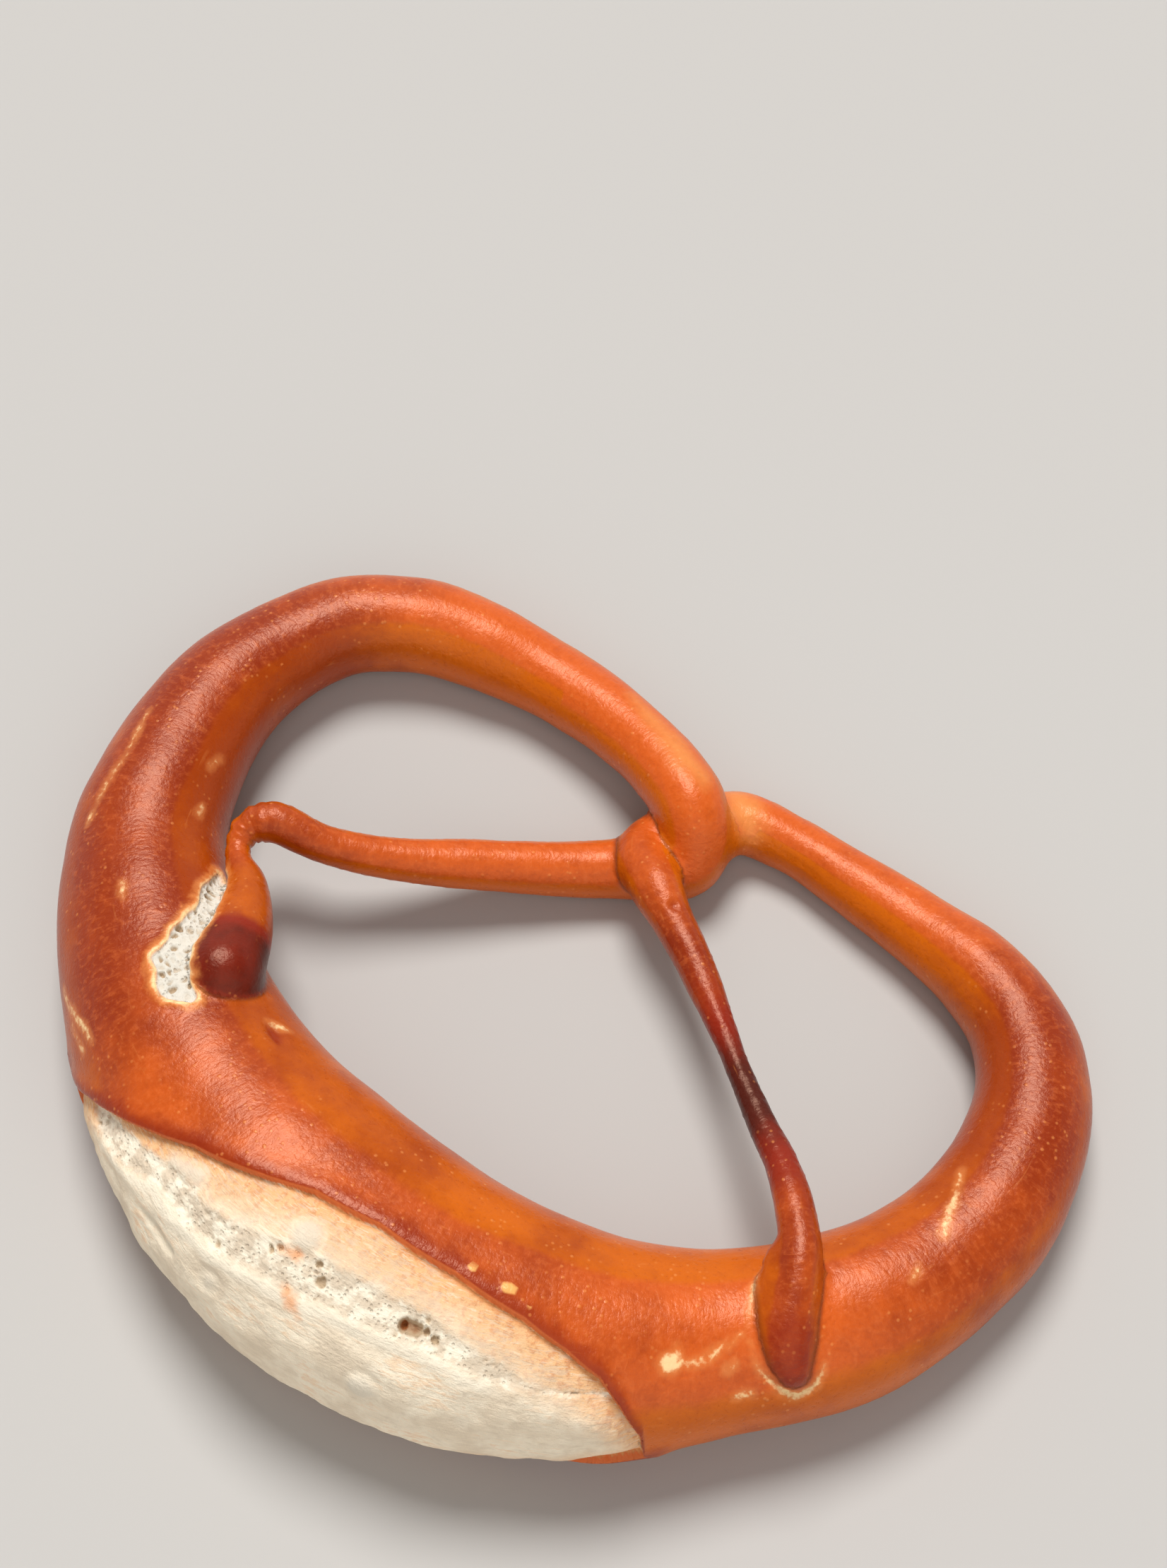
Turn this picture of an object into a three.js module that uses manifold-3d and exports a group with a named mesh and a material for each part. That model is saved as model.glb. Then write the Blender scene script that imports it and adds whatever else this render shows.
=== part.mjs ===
// A soft pretzel: one rope of dough, thick in the middle and thin at both ends,
// laid in a ring, twisted once, and pressed back onto its own thick belly.
// It lies flat on its baked underside. Millimetres, +Z up, +Y from the belly to the arch.
import * as THREE from "three";
import { mergeVertices } from "three/addons/utils/BufferGeometryUtils.js";
import Module from "manifold-3d";

// Driving dimensions.
const SIDES = 18; // flats round one section of the rope
const RINGS_PER_STATION = 3; // sections from one station of the rope to the next
const END_RINGS = 4; // sections that close each round end
const THIN = 9; // half width up to which the rope keeps a nearly round section
const THICK = 23; // half width of the belly at its fullest
const THIN_FLATNESS = 0.98; // height over width of a thin section
const THICK_FLATNESS = 0.83; // height over width of the belly, which sags as it proves
const SEAT = 0.85; // height of the rope's middle over its half height: the rest is the flat underside
const TABLE = 0; // the surface that the pretzel was baked on
const FINISH = { color: 0xb04a1c, roughness: 0.45, metalness: 0 };

// The left arm, from its round tip on the left shoulder to the twist: x, y, z, half width.
const LEFT_ARM = [
  [-41, -23.3, 25, 6.8],
  [-45, -15, 22, 5.2],
  [-50, -8, 19.5, 3.6],
  [-56.5, -3.5, 17.5, 2.1],
  [-58, 1, 17.5, 2.7],
  [-55, 4.5, 18, 3.5],
  [-47, 7, 16, 3.5],
  [-36, 14, 12, 3.7],
  [-22.5, 25, 8, 4.5],
  [-7, 38, 5, 5.4],
];

// The twist seen from the left arm: under the right arm, then up and over the rope's other half.
const TWIST_OVER = [
  [3.5, 46.5, 7, 5.8],
  [-0.5, 52.5, 12.5, 6.1],
  [-10, 57, 11, 6.5],
  [-24.5, 60, 8, 6.6],
];

// The ring, which rests on its underside all the way: x, y, half width.
const RING = [
  [-40, 60, 7.3],
  [-52.5, 58, 8.2],
  [-64, 53.5, 8.8],
  [-74.5, 44.5, 9],
  [-80, 32, 9.6],
  [-81.5, 19, 10.8],
  [-78.5, 3.5, 12.3],
  [-72, -11, 13.6],
  [-59.5, -23.5, 15.8],
  [-43, -34.5, 18.4],
  [-22.5, -42.5, 21.2],
  [-2, -45.5, 23],
  [20, -43, 21.8],
  [42, -34, 18.3],
  [58, -21, 15.2],
  [72, -4.5, 14],
  [79.5, 13, 12.4],
  [81, 30, 11.3],
  [76.5, 46, 10],
  [67.5, 56, 8.9],
  [56, 60.5, 7.9],
  [42, 62, 6.5],
  [28.5, 62, 5.7],
  [15, 61.5, 5.3],
];

// The twist seen from the right: under the rope's other half, then up and over the left arm.
const TWIST_UNDER = [
  [4.5, 58.5, 4.6, 5.3],
  [-4, 44, 7, 5.1],
  [2.5, 38, 12, 4.7],
];

// The right arm, from the twist to its pointed tip, pressed over the right shoulder.
const RIGHT_ARM = [
  [8.5, 34.5, 13, 3.9],
  [15, 31, 13.5, 3.3],
  [27, 23.5, 15, 2.6],
  [37.5, 16.5, 17, 2.3],
  [44.5, 12, 19, 2.5],
  [51, 8, 21.5, 2.9],
  [57.5, 2.5, 24, 3.4],
  [62.5, -3, 25, 3.6],
  [68.5, -13, 23.2, 3.8],
  [72.5, -18, 20.8, 2.4],
];

// Dough squeezed out beside the right arm's tip as it was pressed down: x, y, z, half width, half height.
const FLAP = [
  [60.5, -6, 24.6, 2.8, 1.6],
  [63.7, -10.5, 24.4, 3.4, 1.8],
  [66.2, -14.3, 24.3, 3.3, 1.8],
  [69.4, -17.3, 23.4, 2.5, 1.7],
  [72.2, -18.8, 21.8, 1.6, 1.4],
];

const wasm = await Module();
wasm.setup();

function lifted([x, y, z, half, tall = half]) {
  return { place: new THREE.Vector3(x, y, z), size: new THREE.Vector3(half, tall, 0) };
}

// A thick section is wider than it is tall, and its middle sits low enough to leave a flat underside.
function resting([x, y, half]) {
  const flatness = THREE.MathUtils.mapLinear(half, THIN, THICK, THIN_FLATNESS, THICK_FLATNESS);
  const tall = half * Math.min(flatness, THIN_FLATNESS);
  return { place: new THREE.Vector3(x, y, SEAT * tall), size: new THREE.Vector3(half, tall, 0) };
}

// A strand of dough: smooth curves through its stations, for the middle and for the half sizes.
function strandOf(stations) {
  return {
    last: stations.length - 1,
    route: new THREE.CatmullRomCurve3(stations.map((station) => station.place)),
    sizes: new THREE.CatmullRomCurve3(stations.map((station) => station.size)),
  };
}

const rope = strandOf([
  ...[...LEFT_ARM, ...TWIST_OVER].map(lifted),
  ...RING.map(resting),
  ...[...TWIST_UNDER, ...RIGHT_ARM].map(lifted),
]);
const flap = strandOf(FLAP.map(lifted));

// One section: its middle, its two half axes, and the way the strand runs.
function sectionAt(strand, station) {
  const along = station / strand.last;
  const middle = strand.route.getPoint(along);
  const heading = strand.route.getTangent(along);
  const { x: half, y: tall } = strand.sizes.getPoint(along);
  const across = new THREE.Vector3(0, 0, 1).cross(heading).normalize().multiplyScalar(half);
  const up = heading.clone().cross(across).normalize().multiplyScalar(tall);
  return { middle, across, up, heading, half };
}

// The sections that close an end shrink along a quarter circle; way is -1 at the start, +1 at the finish.
function roundEnd(section, way) {
  const rings = [];
  for (let i = 1; i < END_RINGS; i++) {
    const angle = (i / END_RINGS) * (Math.PI / 2);
    const middle = section.middle
      .clone()
      .addScaledVector(section.heading, way * section.half * Math.sin(angle));
    rings.push({
      ...section,
      middle,
      across: section.across.clone().multiplyScalar(Math.cos(angle)),
      up: section.up.clone().multiplyScalar(Math.cos(angle)),
    });
  }
  return rings;
}

function pole(section, way) {
  return section.middle.clone().addScaledVector(section.heading, way * section.half);
}

// A closed length of a strand between two stations, as plain triangles.
function lengthGeometry(strand, first, last) {
  const sections = [];
  for (let i = 0; i <= (last - first) * RINGS_PER_STATION; i++) {
    sections.push(sectionAt(strand, first + i / RINGS_PER_STATION));
  }
  const start = sections[0];
  const finish = sections[sections.length - 1];
  const rings = [...roundEnd(start, -1).reverse(), ...sections, ...roundEnd(finish, 1)];
  const points = [];
  for (const ring of rings) {
    for (let side = 0; side < SIDES; side++) {
      const angle = (side / SIDES) * 2 * Math.PI;
      const point = ring.middle.clone();
      point.addScaledVector(ring.across, Math.cos(angle));
      point.addScaledVector(ring.up, Math.sin(angle));
      points.push(point);
    }
  }
  const startPole = points.push(pole(start, -1)) - 1;
  const finishPole = points.push(pole(finish, 1)) - 1;
  const faces = [];
  const lastRing = (rings.length - 1) * SIDES;
  for (let side = 0; side < SIDES; side++) {
    const next = (side + 1) % SIDES;
    faces.push(startPole, next, side);
    faces.push(finishPole, lastRing + side, lastRing + next);
    for (let ring = 0; ring < lastRing; ring += SIDES) {
      faces.push(ring + side, ring + next, ring + SIDES + side);
      faces.push(ring + next, ring + SIDES + next, ring + SIDES + side);
    }
  }
  const geometry = new THREE.BufferGeometry().setFromPoints(points);
  geometry.setIndex(faces);
  return geometry;
}

function solidOf(geometry) {
  const bare = geometry.clone();
  bare.deleteAttribute("normal");
  bare.deleteAttribute("uv");
  const merged = mergeVertices(bare);
  return new wasm.Manifold(
    new wasm.Mesh({
      numProp: 3,
      vertProperties: merged.attributes.position.array,
      triVerts: new Uint32Array(merged.index.array),
    }),
  );
}

function geometryOf(solid) {
  const mesh = solid.getMesh();
  const geometry = new THREE.BufferGeometry();
  geometry.setAttribute("position", new THREE.BufferAttribute(mesh.vertProperties, 3));
  geometry.setIndex(new THREE.BufferAttribute(mesh.triVerts, 1));
  geometry.computeVertexNormals();
  return geometry;
}

// Everything below the table: cutting it away leaves the flat underside.
function belowTable() {
  const room = 400;
  const block = new THREE.BoxGeometry(room, room, room);
  block.translate(0, 0, TABLE - room / 2);
  return solidOf(block);
}

// The rope crosses itself twice, so it is made as three lengths that never cross themselves.
function pretzelGeometry() {
  const leftEnd = LEFT_ARM.length + TWIST_OVER.length;
  const rightEnd = leftEnd + RING.length;
  const lengths = [
    lengthGeometry(rope, 0, leftEnd),
    lengthGeometry(rope, leftEnd - 1, rightEnd),
    lengthGeometry(rope, rightEnd - 1, rope.last),
    lengthGeometry(flap, 0, flap.last),
  ];
  const whole = lengths.map(solidOf).reduce((joined, length) => joined.add(length));
  const geometry = geometryOf(whole.subtract(belowTable()));
  geometry.computeBoundingBox();
  const middle = geometry.boundingBox.getCenter(new THREE.Vector3());
  geometry.translate(-middle.x, -middle.y, 0);
  return geometry;
}

const pretzel = new THREE.Mesh(pretzelGeometry(), new THREE.MeshStandardMaterial(FINISH));
pretzel.name = "pretzel";

const part = new THREE.Group();
part.add(pretzel);

export default part;
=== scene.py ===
import math

import bmesh
import bpy
import numpy as np
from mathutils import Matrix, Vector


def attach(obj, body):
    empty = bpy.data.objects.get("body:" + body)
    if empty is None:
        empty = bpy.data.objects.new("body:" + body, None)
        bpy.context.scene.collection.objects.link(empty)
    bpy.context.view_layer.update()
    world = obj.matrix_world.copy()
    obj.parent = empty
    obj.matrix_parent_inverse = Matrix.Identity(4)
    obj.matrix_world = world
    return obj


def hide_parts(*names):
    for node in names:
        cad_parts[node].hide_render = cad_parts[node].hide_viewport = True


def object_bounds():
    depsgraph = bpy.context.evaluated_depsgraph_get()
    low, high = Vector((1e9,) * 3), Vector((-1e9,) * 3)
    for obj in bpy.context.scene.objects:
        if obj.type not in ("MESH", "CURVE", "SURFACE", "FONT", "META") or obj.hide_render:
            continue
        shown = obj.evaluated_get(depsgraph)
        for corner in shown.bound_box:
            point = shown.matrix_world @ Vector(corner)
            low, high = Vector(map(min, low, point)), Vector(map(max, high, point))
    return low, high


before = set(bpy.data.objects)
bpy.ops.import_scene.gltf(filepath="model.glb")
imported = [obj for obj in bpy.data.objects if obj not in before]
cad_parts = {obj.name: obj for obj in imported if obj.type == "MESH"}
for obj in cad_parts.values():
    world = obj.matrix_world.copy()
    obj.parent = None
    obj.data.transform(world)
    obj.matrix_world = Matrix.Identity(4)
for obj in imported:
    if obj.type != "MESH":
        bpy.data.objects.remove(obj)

import openvdb
from mathutils import Vector, noise

cad_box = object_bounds()
MM = 0.001

# ---------------------------------------------------------------- the rope's driving dimensions

THIN = 9.0  # half width up to which the rope keeps a nearly round section
THICK = 23.0  # half width of the belly at its fullest
THIN_FLATNESS = 0.98  # height over width of a thin section
THICK_FLATNESS = 0.83  # height over width of the belly
SEAT = 0.85  # height of the rope's middle over its half height

# Left arm: x, y, z, half width. The first two stations are the bulb, the next three its pinched neck.
LEFT_ARM = [
    (-41, -23.3, 25, 6.8),
    (-45, -15, 22, 5.2),
    (-50, -8, 19.5, 3.6),
    (-56.5, -3.5, 17.5, 2.1),
    (-58, 1, 17.5, 2.7),
    (-55, 4.5, 18, 3.5),
    (-47, 7, 16, 3.5),
    (-36, 14, 12, 3.7),
    (-22.5, 25, 8, 4.5),
    (-7, 38, 5, 5.4),
]
TWIST_OVER = [
    (3.5, 46.5, 7, 5.8),
    (-0.5, 52.5, 12.5, 6.1),
    (-10, 57, 11, 6.5),
    (-24.5, 60, 8, 6.6),
]
# The ring rests on its underside all the way: x, y, half width.
RING = [
    (-40, 60, 7.3),
    (-52.5, 58, 8.2),
    (-64, 53.5, 8.8),
    (-74.5, 44.5, 9),
    (-80, 32, 9.6),
    (-81.5, 19, 10.8),
    (-78.5, 3.5, 12.3),
    (-72, -11, 13.6),
    (-59.5, -23.5, 15.8),
    (-43, -34.5, 18.4),
    (-22.5, -42.5, 21.2),
    (-2, -45.5, 23),
    (20, -43, 21.8),
    (42, -34, 18.3),
    (58, -21, 15.2),
    (72, -4.5, 14),
    (79.5, 13, 12.4),
    (81, 30, 11.3),
    (76.5, 46, 10),
    (67.5, 56, 8.9),
    (56, 60.5, 7.9),
    (42, 62, 6.5),
    (28.5, 62, 5.7),
    (15, 61.5, 5.3),
]
TWIST_UNDER = [
    (4.5, 58.5, 4.6, 5.3),
    (-4, 44, 7, 5.1),
    (2.5, 38, 12, 4.7),
]
RIGHT_ARM = [
    (8.5, 34.5, 13, 3.9),
    (15, 31, 13.5, 3.3),
    (27, 23.5, 15, 2.6),
    (37.5, 16.5, 17, 2.3),
    (44.5, 12, 19, 2.5),
    (51, 8, 21.5, 2.9),
    (57.5, 2.5, 24, 3.4),
    (62.5, -3, 25, 3.6),
    (68.5, -13, 23.2, 3.8),
    (72.5, -18, 20.8, 2.4),
]
# Dough squeezed out beside the right arm's tip as it was pressed down: x, y, z, half width, half height.
FLAP = [
    (60.5, -6, 24.6, 2.8, 1.6),
    (63.7, -10.5, 24.4, 3.4, 1.8),
    (66.2, -14.3, 24.3, 3.3, 1.8),
    (69.4, -17.3, 23.4, 2.5, 1.7),
    (72.2, -18.8, 21.8, 1.6, 1.4),
]

SAMPLE_STEP = 0.5  # mm along the rope from one sample to the next
VOXEL = 1.14  # mm between the skin's points before the details are cut finer
MARGIN = 4.0  # mm of empty grid round the dough
FUSE = 1.3  # mm over which two strands that touch flow into each other
FLAP_FUSE = 2.6  # mm over which the flap runs up the arm beside it
WEB = (8.5, 54.5, 7)  # where the dough of the twist is webbed together
WEB_FUSE = 7.0  # mm of extra flow there
WEB_REACH = 5.5
BASE_FUSE = 2.0  # mm of rounding where the sides meet the flat underside
LEFT_FADE = (10, 20)  # mm from the left run-on between which the fillet comes back
RIGHT_FADE = (8, 16)
RUN_ON_REACH = (14, 9)  # mm round a run-on within which two lengths aren't two strands
RUN_ON_GAP = 9  # mm that is added between them there
CURVE_STEPS = 80  # fine steps to a station while a rope's length is measured
BLOCKS = 60  # parts that the points are looked up in, to save memory
FAR = 30.0  # mm that stands for well outside a zone


def smooth(low, high, value):
    """0 below low, 1 above high, and an S-curve between; the other way round where low is over high."""
    t = np.clip((value - low) / (high - low), 0.0, 1.0)
    return t * t * (3.0 - 2.0 * t)


def bell(value, width):
    """1 at nought, falling off on both sides over about one width."""
    return np.exp(-((value / width) ** 2))


# ---------------------------------------------------------------- the rope as samples


def lifted(x, y, z, half):
    return (x, y, z, half, half)


def resting(x, y, half):
    share = (half - THIN) / (THICK - THIN)
    flatness = min(THIN_FLATNESS + share * (THICK_FLATNESS - THIN_FLATNESS), THIN_FLATNESS)
    tall = half * flatness
    return (x, y, SEAT * tall, half, tall)


def catmull_rom(points, at):
    """The centripetal curve through points, at fractional stations."""
    ends = np.vstack([2 * points[0] - points[1], points, 2 * points[-1] - points[-2]])
    i = np.clip(np.floor(at).astype(int), 0, len(points) - 2)
    t = (at - i)[:, None]
    p0, p1, p2, p3 = (ends[i + k] for k in range(4))

    def knot(a, b):
        return np.maximum(np.sqrt(np.linalg.norm(b - a, axis=1)), 1e-4)[:, None]

    d0, d1, d2 = knot(p0, p1), knot(p1, p2), knot(p2, p3)
    start = ((p1 - p0) / d0 - (p2 - p0) / (d0 + d1) + (p2 - p1) / d1) * d1
    finish = ((p2 - p1) / d1 - (p3 - p1) / (d1 + d2) + (p3 - p2) / d2) * d1
    square = -3 * p1 + 3 * p2 - 2 * start - finish
    cube = 2 * p1 - 2 * p2 + start + finish
    return p1 + start * t + square * t**2 + cube * t**3


class Rope:
    """Dense samples of a rope: place, across, up, along, half width, half height and arc length."""

    def __init__(self, stations):
        stations = np.array(stations, float)
        fine = np.linspace(0, len(stations) - 1, CURVE_STEPS * len(stations))
        path = catmull_rom(stations[:, :3], fine)
        length = np.concatenate([[0], np.cumsum(np.linalg.norm(np.diff(path, axis=0), axis=1))])
        self.arc = np.arange(0, length[-1], SAMPLE_STEP)
        self.station = np.interp(self.arc, length, fine)
        self.place = catmull_rom(stations[:, :3], self.station)
        self.half, self.tall = catmull_rom(stations[:, 3:], self.station).T
        along = np.gradient(self.place, axis=0)
        self.along = along / np.linalg.norm(along, axis=1)[:, None]
        across = np.cross((0, 0, 1), self.along)
        self.across = across / np.linalg.norm(across, axis=1)[:, None]
        self.up = np.cross(self.along, self.across)

    def between(self, first, last):
        """Indices of the samples from one station to another."""
        return np.flatnonzero((self.station >= first) & (self.station <= last))

    def arc_at(self, station):
        return np.interp(station, self.station, self.arc)

    def nearest(self, points, samples):
        """For each point, the sample whose section it belongs to."""
        middle = self.place[samples]
        weight = (middle**2).sum(axis=1) - self.half[samples] ** 2
        blocks = np.array_split(points, BLOCKS)
        found = [np.argmin(weight - 2 * block @ middle.T, axis=1) for block in blocks]
        return samples[np.concatenate(found)]

    def outside(self, points, near):
        """About how far each point is outside the section of its own sample, in mm."""
        offset = points - self.place[near]
        rise = (offset * self.up[near]).sum(axis=1)
        flatter = (self.half[near] / self.tall[near]) ** 2 - 1
        return np.sqrt((offset**2).sum(axis=1) + rise**2 * flatter) - self.half[near]


rope = Rope(
    [lifted(*s) for s in LEFT_ARM + TWIST_OVER]
    + [resting(*s) for s in RING]
    + [lifted(*s) for s in TWIST_UNDER + RIGHT_ARM]
)
flap = Rope(FLAP)
LEFT_JOINT = len(LEFT_ARM) + len(TWIST_OVER) - 0.5  # where the twist runs on into the ring
RIGHT_JOINT = len(LEFT_ARM) + len(TWIST_OVER) + len(RING) - 0.5
LEFT_LENGTH = rope.between(0, LEFT_JOINT)
RING_LENGTH = rope.between(LEFT_JOINT, RIGHT_JOINT)
RIGHT_LENGTH = rope.between(RIGHT_JOINT, np.inf)
LENGTHS = (LEFT_LENGTH, RING_LENGTH, RIGHT_LENGTH)
FLAP_LENGTH = np.arange(len(flap.arc))
LEFT_RUN_ON = rope.place[LEFT_LENGTH[-1]]  # where one length only runs on into the next
RIGHT_RUN_ON = rope.place[RIGHT_LENGTH[0]]


# ---------------------------------------------------------------- the dough as a distance field


class Grid:
    """A box of points round the rope, one voxel apart."""

    def __init__(self):
        reach = rope.half[:, None] + MARGIN
        self.low = (rope.place - reach).min(axis=0)
        self.low[2] = -MARGIN
        high = (rope.place + reach).max(axis=0)
        self.count = np.ceil((high - self.low) / VOXEL).astype(int) + 1
        self.axes = [self.low[k] + VOXEL * np.arange(self.count[k]) for k in range(3)]

    def window(self, middle, reach):
        """The slices and the offsets from middle of the grid points within reach of it."""
        first = np.floor((middle - reach - self.low) / VOXEL).astype(int)
        last = np.ceil((middle + reach - self.low) / VOXEL).astype(int) + 1
        cut = [slice(max(a, 0), min(b, n)) for a, b, n in zip(first, last, self.count)]
        steps = [(self.axes[k][cut[k]] - middle[k]).astype(np.float32) for k in range(3)]
        return tuple(cut), steps

    def distance_to(self, point):
        x, y, z = (self.axes[k] - point[k] for k in range(3))
        return np.sqrt(x[:, None, None] ** 2 + y[None, :, None] ** 2 + z[None, None, :] ** 2)


def strand_field(grid, strand, samples):
    """About how far each grid point is outside one length of a rope, negative inside it."""
    field = np.full(grid.count, MARGIN, np.float32)
    for i in samples:
        half, tall = strand.half[i], strand.tall[i]
        cut, (x, y, z) = grid.window(strand.place[i], half + MARGIN)
        x, y, z = x[:, None, None], y[None, :, None], z[None, None, :]
        up = strand.up[i].astype(np.float32)
        rise = x * up[0] + y * up[1] + z * up[2]
        # A round ball, pressed flatter along its own up direction.
        pressed = x * x + y * y + z * z + rise * rise * ((half / tall) ** 2 - 1)
        np.minimum(field[cut], np.sqrt(pressed) - half, out=field[cut])
    return field


def fuse(a, b, reach):
    """The union of two fields, with a fillet that grows with reach."""
    reach = np.maximum(reach, 1e-3)
    mix = np.maximum(reach - np.abs(a - b), 0) / reach
    return np.minimum(a, b) - mix * mix * reach / 4


def dough_field(grid):
    """All the lengths flowed together, then flattened on the baking surface."""
    left, ring, right = (strand_field(grid, rope, samples) for samples in LENGTHS)
    right = fuse(right, strand_field(grid, flap, FLAP_LENGTH), FLAP_FUSE)
    # No fillet where one length simply runs on into the next.
    left_fade = smooth(*LEFT_FADE, grid.distance_to(LEFT_RUN_ON))
    right_fade = smooth(*RIGHT_FADE, grid.distance_to(RIGHT_RUN_ON))
    flow = FUSE + WEB_FUSE * bell(grid.distance_to(WEB), WEB_REACH)
    whole = fuse(fuse(left, ring, flow * left_fade), fuse(right, ring, FUSE * right_fade), 0)
    whole = np.minimum(whole, fuse(left, right, flow))
    below = np.broadcast_to(-grid.axes[2][None, None, :], whole.shape)
    return -fuse(-whole, -below, BASE_FUSE)


def skin(grid, field):
    """The field's zero surface as quads, in millimetres."""
    volume = openvdb.FloatGrid(MARGIN)
    volume.copyFromArray(np.ascontiguousarray(np.clip(field, -MARGIN, MARGIN), dtype=np.float32))
    points, quads = volume.convertToQuads(isovalue=0.0)
    return points.astype(float) * VOXEL + grid.low, quads.astype(int)


# ---------------------------------------------------------------- where the skin lies on the rope


class OnRope:
    """Rope coordinates of the skin's points.

    arc is the length along the rope in mm. angle goes round the section in degrees: 0 faces the inside
    of the ring, 90 up, 180 outwards and 270 down. outside is the distance to each length of the rope."""

    def __init__(self, points):
        owners = [rope.nearest(points, samples) for samples in LENGTHS]
        self.outside = np.array([rope.outside(points, near) for near in owners])
        on_flap = flap.outside(points, flap.nearest(points, FLAP_LENGTH))
        self.outside[2] = np.minimum(self.outside[2], on_flap)
        self.length = np.argmin(self.outside, axis=0)
        near = np.choose(self.length, owners)
        offset = points - rope.place[near]
        self.half = rope.half[near]
        self.arc = rope.arc[near] + (offset * rope.along[near]).sum(axis=1)
        self.aside = (offset * rope.across[near]).sum(axis=1)
        self.rise = (offset * rope.up[near]).sum(axis=1)
        self.angle = np.degrees(np.arctan2(self.rise / rope.tall[near], self.aside / self.half)) % 360
        self.on_left, self.on_ring, self.on_right = (self.length == i for i in range(3))
        self.mm_per_degree = self.half * math.pi / 180

    def join(self, points):
        """Distance to the next strand, left out where the rope only runs on from one length to the next."""
        gap = np.sort(self.outside, axis=0)[1]
        for end in (LEFT_RUN_ON, RIGHT_RUN_ON):
            gap = gap + RUN_ON_GAP * smooth(*RUN_ON_REACH, np.linalg.norm(points - end, axis=1))
        return gap


def within_paths(points, paths):
    """How far each point is inside the nearest of some drawn strokes, in mm, negative outside.

    A stroke is a list of (x, y, z, half width)."""
    best = np.full(len(points), -99.0)
    for path in paths:
        path = np.array(path, float)
        if len(path) == 1:
            path = np.vstack([path, path + (0.01, 0, 0, 0)])
        close = np.linalg.norm(points - path[:, :3].mean(axis=0), axis=1) < 60
        near = points[close]
        inside = np.full(len(near), -99.0)
        for a, b in zip(path[:-1], path[1:]):
            span = b[:3] - a[:3]
            t = np.clip(((near - a[:3]) @ span) / (span @ span), 0, 1)
            gap = np.linalg.norm(near - (a[:3] + t[:, None] * span), axis=1)
            inside = np.maximum(inside, a[3] + t * (b[3] - a[3]) - gap)
        best[close] = np.maximum(best[close], inside)
    return best


def ripple(points, size, seed):
    """Smooth noise between -1 and 1, with lumps about size mm across."""
    shift = Vector((seed * 17.3, seed * 5.1, seed * 9.7))
    return np.array([noise.noise(Vector(p) + shift) for p in points / size])


def froth(points, size, seed):
    """Foam: 0 on the walls of its bubbles to 1 inside them, and a random number for each bubble."""
    depth = np.zeros(len(points))
    chance = np.zeros(len(points))
    for i, p in enumerate(points / size + seed * 7.7):
        distances, places = noise.voronoi(Vector(p))
        depth[i] = distances[1] - distances[0]
        chance[i] = 0.5 + 0.5 * noise.cell(places[0] * 31.0)
    return smooth(0.04, 0.45, depth), chance


# ---------------------------------------------------------------- the split, the tear and the small marks

# The crust's edge above the split: station of the rope, angle round it.
UPPER_LIP = [
    (22.9, 182),
    (23.25, 154),
    (23.5, 139),
    (23.8, 124),
    (24.1, 111),
    (24.6, 98),
    (25.0, 88),
    (25.5, 84),
    (26.1, 87),
    (26.6, 96),
    (26.9, 106),
    (27.15, 118),
    (27.3, 134),
    (27.45, 156),
    (27.5, 182),
]
# The crust's edge below it.
LOWER_LIP = [
    (22.9, 182),
    (23.4, 200),
    (24.1, 214),
    (25.2, 221),
    (26.3, 217),
    (27.0, 203),
    (27.5, 182),
]
# The torn, porous band inside the split: station, angle, half width in mm.
TORN_BAND = [
    (23.2, 158, 1.0),
    (23.5, 150, 2.6),
    (23.8, 141, 2.6),
    (24.1, 130, 2.2),
    (24.4, 129, 2.5),
    (24.7, 126, 2.7),
    (25.0, 120, 3.0),
    (25.25, 117, 3.5),
    (25.5, 114, 3.1),
    (25.95, 114, 2.7),
    (26.1, 114, 2.3),
    (26.4, 120, 1.6),
    (26.6, 123, 1.2),
    (26.8, 127, 0.6),
]
# How deeply the crust is browned along the rope: station, share.
DEEP = [
    (0, 0.6),
    (5, 0.55),
    (8, 0.1),
    (13, 0.05),
    (15, 0.1),
    (17, 0.75),
    (20, 0.95),
    (22, 1.0),
    (23.5, 0.5),
    (25.5, 0.5),
    (28, 0.3),
    (29.5, 0.4),
    (31, 0.9),
    (33, 0.85),
    (34.5, 0.2),
    (37, 0.05),
    (40, 0.4),
    (42, 0.8),
    (47, 0.6),
    (50, 0.8),
]
# Drawn strokes, each a list of x, y, z, half width.
# The torn patch beside the bulb.
TEAR = [
    [
        (-55.5, -9, 18, 1.2),
        (-53.2, -12.5, 21.8, 1.9),
        (-50.8, -17, 24.8, 2.0),
        (-49.6, -23.5, 27.2, 2.6),
        (-48, -28, 28.2, 3.2),
        (-44.8, -30.8, 29.4, 2.9),
        (-41, -31.4, 29.8, 1.3),
    ]
]
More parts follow.
